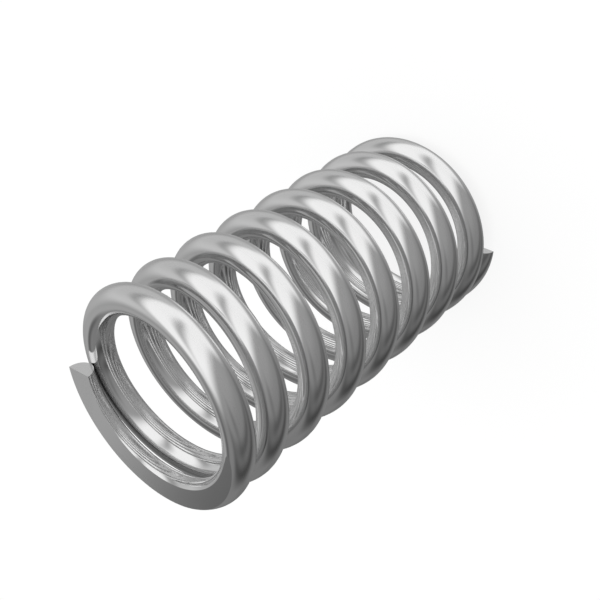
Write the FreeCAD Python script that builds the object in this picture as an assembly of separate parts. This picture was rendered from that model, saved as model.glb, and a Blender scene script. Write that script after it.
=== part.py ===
import FreeCAD, Part
import math
import os

# Compression spring: one round steel wire wound left-handed into an open coil, with both ends
# closed and ground square. Millimetres. Z is the coil's axis and z = 0 is the lower ground face.
# The wire starts at +X and, seen from above, runs clockwise as it climbs.

# Driving dimensions
wire_diameter = 3.0
mean_diameter = 20.0       # of the coil, at the middle of the wire
free_length = 44.5         # between the two ground faces, with no load
total_coils = 8.486        # turns of wire from one cut tip to the other
closed_coils = 0.94        # turns at each end that are wound closed
opening_coils = 0.14       # turns over which a closed coil opens out to the working pitch
closed_clearance = 0.05    # air between a closed coil and the coil beside it
grind_depth = 1.5          # of the wire's thickness, ground away at each cut tip
left_hand = True           # which way the coil is wound

# Heights of the wire's middle, from the values above
closed_pitch = wire_diameter + closed_clearance
tip_height = wire_diameter / 2 - grind_depth
working_coils = total_coils - 2 * closed_coils - opening_coils
working_pitch = (free_length - 2 * tip_height - (2 * closed_coils + opening_coils) * closed_pitch) / working_coils


def unrolled(turns, height):
    """Point of the coil's middle cylinder, laid flat: angle across, height up."""
    sense = -1 if left_hand else 1
    return FreeCAD.Base.Vector2d(sense * 2 * math.pi * turns, height)


def coil_path():
    """The middle line of the wire, drawn flat on the coil's middle cylinder and rolled up.

    On the unrolled cylinder a constant pitch is a straight line, and each opening is a short
    curve that leaves the closed line and meets the working line with no kink.
    """
    cylinder = Part.Cylinder()
    cylinder.Radius = mean_diameter / 2
    edges = []

    def wind(start, end, runs):
        for i in range(runs):
            a, b = [[start[k] + (end[k] - start[k]) * share / runs for k in (0, 1)] for share in (i, i + 1)]
            edges.append(Part.Geom2d.Line2dSegment(unrolled(*a), unrolled(*b)).toShape(cylinder))

    def open_out(start, turn_point, end):
        curve = Part.Geom2d.BezierCurve2d()
        curve.setPoles([unrolled(*start), unrolled(*turn_point), unrolled(*end)])
        edges.append(curve.toShape(cylinder))

    lower_tip = (0, tip_height)
    lower_closed = (closed_coils, tip_height + closed_coils * closed_pitch)
    lower_turn = (closed_coils + opening_coils / 2, lower_closed[1] + opening_coils / 2 * closed_pitch)
    lower_open = (closed_coils + opening_coils, lower_turn[1] + opening_coils / 2 * working_pitch)
    # The upper end is the lower one turned over
    upper_tip, upper_closed, upper_turn, upper_open = [
        (total_coils - turns, free_length - height)
        for turns, height in (lower_tip, lower_closed, lower_turn, lower_open)
    ]
    wind(lower_tip, lower_closed, 1)
    open_out(lower_closed, lower_turn, lower_open)
    wind(lower_open, upper_open, math.ceil(working_coils))
    open_out(upper_open, upper_turn, upper_closed)
    wind(upper_closed, upper_tip, 1)
    return Part.Wire(edges)


def wound_wire(path):
    """The round wire along its path, before its ends are ground."""
    first = path.Edges[0]
    start = first.valueAt(first.FirstParameter)
    direction = first.tangentAt(first.FirstParameter)
    section = Part.Wire(Part.Edge(Part.Circle(start, direction, wire_diameter / 2)))
    sweep = Part.BRepOffsetAPI.MakePipeShell(path)
    sweep.setFrenetMode(True)
    sweep.add(section)
    sweep.build()
    sweep.makeSolid()
    return sweep.shape()


def ground_square(wire):
    """What the grinding wheels leave between the two end faces."""
    width = mean_diameter + 2 * wire_diameter
    between = Part.makeBox(width, width, free_length, FreeCAD.Vector(-width / 2, -width / 2, 0))
    return wire.common(between).Solids[0]


spring = ground_square(wound_wire(coil_path()))

os.makedirs("parts", exist_ok=True)
spring.exportStep("parts/coil_spring.step")

wire_length = coil_path().Length
print("working pitch", round(working_pitch, 3), "wire length", round(wire_length, 1))
print("valid", spring.isValid(), "faces", len(spring.Faces), "volume", round(spring.Volume, 1))
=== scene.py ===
import math
import bpy
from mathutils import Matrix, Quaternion, Vector


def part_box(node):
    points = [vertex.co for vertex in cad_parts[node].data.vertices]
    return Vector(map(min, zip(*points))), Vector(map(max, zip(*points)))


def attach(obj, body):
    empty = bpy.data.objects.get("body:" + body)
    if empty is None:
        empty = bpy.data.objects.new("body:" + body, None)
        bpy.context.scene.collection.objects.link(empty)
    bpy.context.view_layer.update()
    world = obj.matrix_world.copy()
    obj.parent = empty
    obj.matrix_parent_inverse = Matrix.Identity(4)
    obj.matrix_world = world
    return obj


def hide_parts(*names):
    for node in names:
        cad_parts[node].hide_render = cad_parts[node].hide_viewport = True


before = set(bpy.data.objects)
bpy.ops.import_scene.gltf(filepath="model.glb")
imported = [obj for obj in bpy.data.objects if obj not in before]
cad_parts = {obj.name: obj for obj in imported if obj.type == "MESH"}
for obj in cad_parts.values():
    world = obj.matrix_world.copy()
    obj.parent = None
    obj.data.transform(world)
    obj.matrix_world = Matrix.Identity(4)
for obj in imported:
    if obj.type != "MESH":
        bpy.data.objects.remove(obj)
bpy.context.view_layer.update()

# The camera.
# The spring stands on its lower ground end, and the camera looks at its middle from above and
# to one side, rolled so that the spring lies from lower left to upper right of the picture. Its
# angles and distance were fitted to the photo's outline by another program.
low, high = [Vector(corner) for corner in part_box("coil_spring")]
middle = (low + high) / 2
camera_azimuth = math.radians(48.22)
camera_elevation = math.radians(39.69)
camera_roll = math.radians(-125.4)
camera_distance = 0.0903

towards_camera = Vector((math.cos(camera_elevation) * math.cos(camera_azimuth),
                         math.cos(camera_elevation) * math.sin(camera_azimuth),
                         math.sin(camera_elevation)))
bpy.ops.object.camera_add(location=middle + towards_camera * camera_distance)
camera = bpy.context.object
upright = towards_camera.to_track_quat("Z", "Y")
camera.rotation_euler = (upright @ Quaternion((0, 0, 1), camera_roll)).to_euler()
camera.data.lens = 50
camera.data.clip_start = 0.001
bpy.context.scene.camera = camera
bpy.context.scene.view_settings.view_transform = "Standard"

# The wire.
# One length of round spring steel, drawn through a die to a bright polish and wound left-handed
# on a mandrel. Its end coils are wound closed, and it is cropped square at both tips.
wire_diameter = 0.003
total_coils = 8.486
closed_coils = 0.94
opening_coils = 0.14
closed_clearance = 0.00005
grind_depth = 0.0015
points_per_turn = 240
section_sides = 40
cut_precision = 1e-7

free_length = high.z - low.z
coil_radius = (high.x - low.x - wire_diameter) / 2
closed_pitch = wire_diameter + closed_clearance
tip_height = wire_diameter / 2 - grind_depth
working_coils = total_coils - 2 * closed_coils - opening_coils
end_rise = (2 * closed_coils + opening_coils) * closed_pitch
working_pitch = (free_length - 2 * tip_height - end_rise) / working_coils


def wire_height(turns):
    """Height of the wire's middle after so many turns from the lower tip."""
    if turns > total_coils / 2:
        return free_length - wire_height(total_coils - turns)
    opened = min(max(turns - closed_coils, 0), opening_coils)
    working = max(turns - closed_coils - opening_coils, 0)
    closed_rise = min(turns, closed_coils + opening_coils) * closed_pitch
    steepening = (working_pitch - closed_pitch) * opened * opened / opening_coils / 2
    return tip_height + closed_rise + steepening + working * working_pitch


def wire_middle(turns):
    """Middle of the wire after so many turns from the lower tip."""
    angle = -2 * math.pi * turns
    sideways = Vector((math.cos(angle), math.sin(angle), 0)) * coil_radius
    return sideways + Vector((0, 0, low.z + wire_height(turns)))


bpy.ops.object.select_all(action="DESELECT")
bpy.ops.curve.primitive_nurbs_path_add()
coil = bpy.context.object
coil.name = "spring_wire"
coil.data.splines.clear()
line = coil.data.splines.new("POLY")
steps = round(total_coils * points_per_turn)
line.points.add(steps)
for step, point in enumerate(line.points):
    point.co = (*wire_middle(total_coils * step / steps), 1)
coil.data.twist_mode = "Z_UP"
coil.data.bevel_depth = wire_diameter / 2
coil.data.bevel_resolution = section_sides // 2 - 2
bpy.ops.object.convert(target="MESH")
coil = bpy.context.object

# The ends.
# Both tips are cropped square. Then each end is ground flat, square to the coil's axis, down to
# the middle of the wire at its tip, so that the spring stands upright.
bpy.ops.object.mode_set(mode="EDIT")
bpy.ops.mesh.select_mode(type="EDGE")
bpy.ops.mesh.select_all(action="DESELECT")
bpy.ops.mesh.select_non_manifold()
bpy.ops.mesh.edge_face_add()
for height, upwards in ((low.z, True), (high.z, False)):
    bpy.ops.mesh.select_all(action="SELECT")
    bpy.ops.mesh.bisect(plane_co=(0, 0, height), plane_no=(0, 0, 1), threshold=cut_precision,
                        clear_inner=upwards, clear_outer=not upwards)
    bpy.ops.mesh.select_all(action="DESELECT")
    bpy.ops.mesh.select_non_manifold()
    bpy.ops.mesh.edge_face_add()
bpy.ops.object.mode_set(mode="OBJECT")

# Each face gets its finish. Each corner on the wire's side gets the true round normal, and as
# much painted shade as the next coil is near.
wire_sides, ground_faces, cropped_tips = range(3)
most_side_corners = 6
gap_shade_reach = 0.001
unrolled = coil.data.uv_layers[0].uv
normals = []
painted_gap_shade = []
for face in coil.data.polygons:
    if face.loop_total <= most_side_corners:
        face.material_index = wire_sides
    elif abs(face.normal.z) > 0.99:
        face.material_index = ground_faces
    else:
        face.material_index = cropped_tips
    for corner, vertex in zip(face.loop_indices, face.vertices):
        if face.material_index != wire_sides:
            normals.append(face.normal.copy())
            painted_gap_shade.append(0)
            continue
        turns = unrolled[corner].vector.x * total_coils
        normal = coil.data.vertices[vertex].co - wire_middle(turns)
        normal.normalize()
        normals.append(normal)
        # Painted shade: the nearer the next coil, the darker the wire's colour is painted at this
        # corner.
        lower_turn = turns if normal.z > 0 else turns - 1
        apart = gap_shade_reach
        if 0 < lower_turn < total_coils - 1:
            pitch_here = wire_height(lower_turn + 1) - wire_height(lower_turn)
            apart = pitch_here - wire_diameter * abs(normal.z)
        painted_gap_shade.append(max(1 - apart / gap_shade_reach, 0))
coil.data.polygons.foreach_set("use_smooth", [True] * len(coil.data.polygons))
coil.data.normals_split_custom_set(normals)

# The finishes.
# The die leaves faint lines along the wire, the grinding wheel leaves fine arcs across the flats,
# and cropping leaves short grain down the tips. All three are lines of one kind at other scales.
mm = 0.001
micron = 0.000001
steel_reflectance = 0.83

lines_group = bpy.data.node_groups.new("tool_lines", "ShaderNodeTree")
for name, kind in (("Place in mm", "Vector"), ("Lines per mm", "Float"), ("Line length", "Float")):
    lines_group.interface.new_socket(name, in_out="INPUT", socket_type="NodeSocket" + kind)
lines_group.interface.new_socket("Depth", in_out="OUTPUT", socket_type="NodeSocketFloat")
nodes = lines_group.nodes
links = lines_group.links
given = nodes.new("NodeGroupInput").outputs
shorten = nodes.new("ShaderNodeMath")
shorten.operation = "DIVIDE"
shorten.inputs[0].default_value = 1
links.new(given["Line length"], shorten.inputs[1])
stretch = nodes.new("ShaderNodeCombineXYZ")
stretch.inputs["Y"].default_value = 1
stretch.inputs["Z"].default_value = 1
links.new(shorten.outputs["Value"], stretch.inputs["X"])
stretched = nodes.new("ShaderNodeVectorMath")
stretched.operation = "MULTIPLY"
links.new(given["Place in mm"], stretched.inputs[0])
links.new(stretch.outputs["Vector"], stretched.inputs[1])
grain = nodes.new("ShaderNodeTexNoise")
grain.inputs["Detail"].default_value = 3
links.new(stretched.outputs["Vector"], grain.inputs["Vector"])
links.new(given["Lines per mm"], grain.inputs["Scale"])
links.new(grain.outputs["Fac"], nodes.new("NodeGroupOutput").inputs["Depth"])


def steel(name):
    """A bare steel, with its nodes, its links and its shader."""
    material = bpy.data.materials.new(name)
    material.use_nodes = True
    coil.data.materials.append(material)
    shader = material.node_tree.nodes["Principled BSDF"]
    shader.inputs["Base Color"].default_value = (*[steel_reflectance] * 3, 1)
    shader.inputs["Metallic"].default_value = 1
    return material.node_tree.nodes, material.node_tree.links, shader


def arithmetic(nodes, links, operation, *values):
    """The result of a Math node, from sockets and numbers."""
    node = nodes.new("ShaderNodeMath")
    node.operation = operation
    for socket, value in zip(node.inputs, values):
        if isinstance(value, bpy.types.NodeSocket):
            links.new(value, socket)
        else:
            socket.default_value = value
    return node.outputs["Value"]


def ramp(nodes, links, value, start, end, from_result, to_result):
    """A value that goes from one result to another between a start and an end."""
    node = nodes.new("ShaderNodeMapRange")
    links.new(value, node.inputs["Value"])
    node.inputs["From Min"].default_value = start
    node.inputs["From Max"].default_value = end
    node.inputs["To Min"].default_value = from_result
    node.inputs["To Max"].default_value = to_result
    return node.outputs["Result"]


def lay_lines(nodes, links, shader, place, lines_per_mm, line_length, depth):
    """Cut tool lines into a steel, with X of the place along them, and give their pattern."""
    lines = nodes.new("ShaderNodeGroup")
    lines.node_tree = lines_group
    lines.inputs["Lines per mm"].default_value = lines_per_mm
    lines.inputs["Line length"].default_value = line_length
    spot = nodes.new("ShaderNodeCombineXYZ")
    for socket, axis in zip(spot.inputs, place):
        links.new(axis, socket)
    links.new(spot.outputs["Vector"], lines.inputs["Place in mm"])
    bump = nodes.new("ShaderNodeBump")
    bump.inputs["Distance"].default_value = depth
    links.new(lines.outputs["Depth"], bump.inputs["Height"])
    links.new(bump.outputs["Normal"], shader.inputs["Normal"])
    return lines.outputs["Depth"]


# The three steels are added in the order of the numbers that the faces were given above.
coil.data.materials.clear()

# The drawn wire, unrolled by its own UV map: X along the wire and Y round its section.
nodes, links, shader = steel("drawn_steel")
unrolled = nodes.new("ShaderNodeSeparateXYZ")
links.new(nodes.new("ShaderNodeTexCoord").outputs["UV"], unrolled.inputs["Vector"])
wire_length = total_coils * 2 * math.pi * coil_radius / mm
wire_radius = wire_diameter / 2 / mm
along = arithmetic(nodes, links, "MULTIPLY", unrolled.outputs["X"], wire_length)
around = arithmetic(nodes, links, "MULTIPLY", unrolled.outputs["Y"], 2 * math.pi)
cosine = arithmetic(nodes, links, "COSINE", around)
sine = arithmetic(nodes, links, "SINE", around)
upward = arithmetic(nodes, links, "MULTIPLY", cosine, wire_radius)
outward = arithmetic(nodes, links, "MULTIPLY", sine, wire_radius)
lines = lay_lines(nodes, links, shader, (along, upward, outward), 8, 60, 0.3 * micron)

# Where two coils nearly touch, the wire's colour is darkened with painted shade, and its shine
# is blurred there. The mandrel has rubbed the inside of the coil, which leaves a soft haze over
# the mirror there.
haze_index = 3
haze_roughness = 0.28
haze_reflectance = ((haze_index - 1) / (haze_index + 1)) ** 2
hazed_reflectance = (steel_reflectance - haze_reflectance) / (1 - haze_reflectance)
painted_shade_share = 0.5
gap_blur = 0.2
gap_shade_attribute = coil.data.attributes.new("painted_gap_shade", "FLOAT", "CORNER")
gap_shade_attribute.data.foreach_set("value", painted_gap_shade)
attribute = nodes.new("ShaderNodeAttribute")
attribute.attribute_name = "painted_gap_shade"
shaded_gap = attribute.outputs["Fac"]
rubbed = ramp(nodes, links, outward, 0.3, 0.9, 1, 0)
links.new(rubbed, shader.inputs["Coat Weight"])
shader.inputs["Coat IOR"].default_value = haze_index
shader.inputs["Coat Roughness"].default_value = haze_roughness
metal = ramp(nodes, links, rubbed, 0, 1, steel_reflectance, hazed_reflectance)
# Painted shade: the base colour is darkened where two coils nearly touch.
painted_gap_darkening = ramp(nodes, links, shaded_gap, 0, 1, 1, painted_shade_share)
links.new(arithmetic(nodes, links, "MULTIPLY", metal, painted_gap_darkening), shader.inputs["Base Color"])
drawn = ramp(nodes, links, lines, 0.3, 0.7, 0.07, 0.1)
gap_roughening = ramp(nodes, links, shaded_gap, 0, 1, 0, gap_blur)
links.new(arithmetic(nodes, links, "ADD", drawn, gap_roughening), shader.inputs["Roughness"])

# The ground flats, with arcs about the middle of the grinding wheel.
nodes, links, shader = steel("ground_steel")
wheel_middle = (-0.09, 0.05, 0)
wheel_radius = 0.1
wheel = nodes.new("ShaderNodeVectorMath")
wheel.operation = "SUBTRACT"
links.new(nodes.new("ShaderNodeTexCoord").outputs["Object"], wheel.inputs[0])
wheel.inputs[1].default_value = wheel_middle
from_wheel = nodes.new("ShaderNodeSeparateXYZ")
links.new(wheel.outputs["Vector"], from_wheel.inputs["Vector"])
squares = [arithmetic(nodes, links, "POWER", from_wheel.outputs[axis], 2) for axis in "XY"]
reach = arithmetic(nodes, links, "SQRT", arithmetic(nodes, links, "ADD", *squares))
swing = arithmetic(nodes, links, "ARCTAN2", from_wheel.outputs["Y"], from_wheel.outputs["X"])
along = arithmetic(nodes, links, "MULTIPLY", swing, wheel_radius / mm)
across = arithmetic(nodes, links, "MULTIPLY", reach, 1 / mm)
lines = lay_lines(nodes, links, shader, (along, across), 10, 50, 0.5 * micron)
links.new(ramp(nodes, links, lines, 0.3, 0.7, 0.1, 0.2), shader.inputs["Roughness"])

# The cropped tips, with grain that runs down the cut.
nodes, links, shader = steel("cropped_steel")
tip_place = nodes.new("ShaderNodeSeparateXYZ")
links.new(nodes.new("ShaderNodeTexCoord").outputs["Object"], tip_place.inputs["Vector"])
down = arithmetic(nodes, links, "MULTIPLY", tip_place.outputs["Z"], 1 / mm)
sideways = arithmetic(nodes, links, "MULTIPLY", tip_place.outputs["X"], 1 / mm)
lines = lay_lines(nodes, links, shader, (down, sideways), 12, 8, 2 * micron)
links.new(ramp(nodes, links, lines, 0.3, 0.7, 0.2, 0.35), shader.inputs["Roughness"])

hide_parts("coil_spring")
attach(coil, "root")

# The studio.
# A white room, with grey cards stood round the spring. The polished wire mirrors them, and they
# give it its tones. Each card has a level, a softness and straight edges. An edge faces the
# card's inside, and its reach says how far outside the middle it stands. All but the left foot
# and the end shade were fitted to the photo's tones by another program and then rounded, and
# their levels were raised by hand after that.
world = bpy.data.worlds.new("studio")
bpy.context.scene.world = world
world.use_nodes = True
nodes = world.node_tree.nodes
links = world.node_tree.links
background = nodes["Background"]
direction = nodes.new("ShaderNodeTexCoord").outputs["Generated"]
cards = (
    ("left wall", 0.54, 0.12,
     (((-0.75, -0.55, -0.4), -0.05), ((-1, 0, 0), -0.3))),
    ("left wall shade", 0.33, 0.1,
     (((-0.8, -0.5, -0.4), -0.2), ((0, 0.85, 0.5), -0.5))),
    ("right wall", 0.35, 0.18,
     (((0.8, -0.6, -0.2), 0.05), ((1, -0.2, 0.2), -0.25))),
    ("low far", 0.3, 0.2,
     (((0.15, -0.9, -0.4), 0.1),)),
    ("corner light", 1, 0.6,
     (((0.65, -0.7, 0.2), 0.35), ((-0.85, 0.1, -0.5), -0.5))),
    ("low near", 0.22, 0.6,
     (((0.25, -0.95, -0.2), -0.2),)),
    ("near shade", 0.15, 0.2,
     (((0.25, 0.7, -0.65), 0.5), ((-0.5, -0.5, 0.7), -0.15), ((0.7, -0.4, -0.6), 0))),
    ("wedge", 0.36, 0.14,
     (((0.95, 0.2, 0.25), -0.12), ((-0.95, 0.15, 0.25), -0.1), ((-1, 0.2, -0.05), -0.12))),
    ("dark band", 0.06, 0.18,
     (((0.65, 0.65, 0.4), -0.2), ((-0.3, -0.85, -0.4), 0), ((0.95, -0.3, -0.15), -0.1))),
    ("dark foot", 0.05, 0.22,
     (((0.95, 0.2, 0.3), -0.2), ((-0.75, -0.55, -0.35), 0.15), ((1, -0.1, 0), -0.15))),
    ("left foot", 0.39, 0.1,
     (((-0.8, 0.5, -0.3), 0.03), ((0, -1, 0), -0.5), ((0, 0, 1), -0.2))),
    ("end shade", 0.13, 0.1,
     (((0.8, -0.5, 0.3), -0.07), ((-0.9, 0, 0.1), -0.4), ((0, 0, 1), -0.35), ((0, -1, 0), -0.55))),
)
room_level = 1.03
room = nodes.new("ShaderNodeValue")
room.outputs["Value"].default_value = room_level
level = room.outputs["Value"]
for name, card_level, softness, edges in cards:
    cover = 1
    for facing, reach in edges:
        side = nodes.new("ShaderNodeVectorMath")
        side.operation = "DOT_PRODUCT"
        links.new(direction, side.inputs[0])
        side.inputs[1].default_value = Vector(facing).normalized()
        edge = nodes.new("ShaderNodeMapRange")
        edge.interpolation_type = "SMOOTHSTEP"
        edge.inputs["From Min"].default_value = -reach - softness
        edge.inputs["From Max"].default_value = -reach + softness
        links.new(side.outputs["Value"], edge.inputs["Value"])
        cover = arithmetic(nodes, links, "MULTIPLY", edge.outputs["Result"], cover)
    laid = nodes.new("ShaderNodeMix")
    laid.label = name
    links.new(cover, laid.inputs["Factor"])
    links.new(level, laid.inputs["A"])
    laid.inputs["B"].default_value = card_level
    level = laid.outputs["Result"]

# Light that the coils have passed on three times or more is mostly taken at one even level, which
# keeps the inside of the coil free of grain. The camera sees the room as plain white.
path = nodes.new("ShaderNodeLightPath").outputs
passed_on_level = 0.4
passed_on_share = 0.6
passed_on = ramp(nodes, links, path["Ray Depth"], 3, 4, 0, passed_on_share)
evened = (("passed on", passed_on, passed_on_level), ("seen", path["Is Camera Ray"], 1))
for name, share, even_level in evened:
    even = nodes.new("ShaderNodeMix")
    even.label = name
    links.new(share, even.inputs["Factor"])
    links.new(level, even.inputs["A"])
    even.inputs["B"].default_value = even_level
    level = even.outputs["Result"]
links.new(level, background.inputs["Color"])

# The floor.
# A plain white table that the spring stands on. Most of its white is its own, and a soft lamp from
# above gives the rest, with the spring's shadow.
bpy.ops.object.select_all(action="DESELECT")
bpy.ops.mesh.primitive_plane_add(size=8, location=(0, 0, low.z))
floor = bpy.context.object
floor.name = "floor"
floor.visible_glossy = False
floor_paint = bpy.data.materials.new("floor_paint")
floor_paint.use_nodes = True
nodes = floor_paint.node_tree.nodes
links = floor_paint.node_tree.links
shader = nodes["Principled BSDF"]
shader.inputs["Base Color"].default_value = (0.95, 0.95, 0.95, 1)
shader.inputs["Roughness"].default_value = 1
shader.inputs["Specular IOR Level"].default_value = 0
white = nodes.new("ShaderNodeEmission")
white.inputs["Strength"].default_value = 1
lifted = nodes.new("ShaderNodeMixShader")
lifted.inputs["Fac"].default_value = 0.85
links.new(shader.outputs["BSDF"], lifted.inputs[1])
links.new(white.outputs["Emission"], lifted.inputs[2])
links.new(lifted.outputs["Shader"], nodes["Material Output"].inputs["Surface"])
floor.data.materials.append(floor_paint)

bpy.ops.object.light_add(type="SUN", location=(0, 0, 1))
lamp = bpy.context.object
lamp.data.energy = 1.9
lamp.data.angle = math.radians(60)
lamp.visible_glossy = False
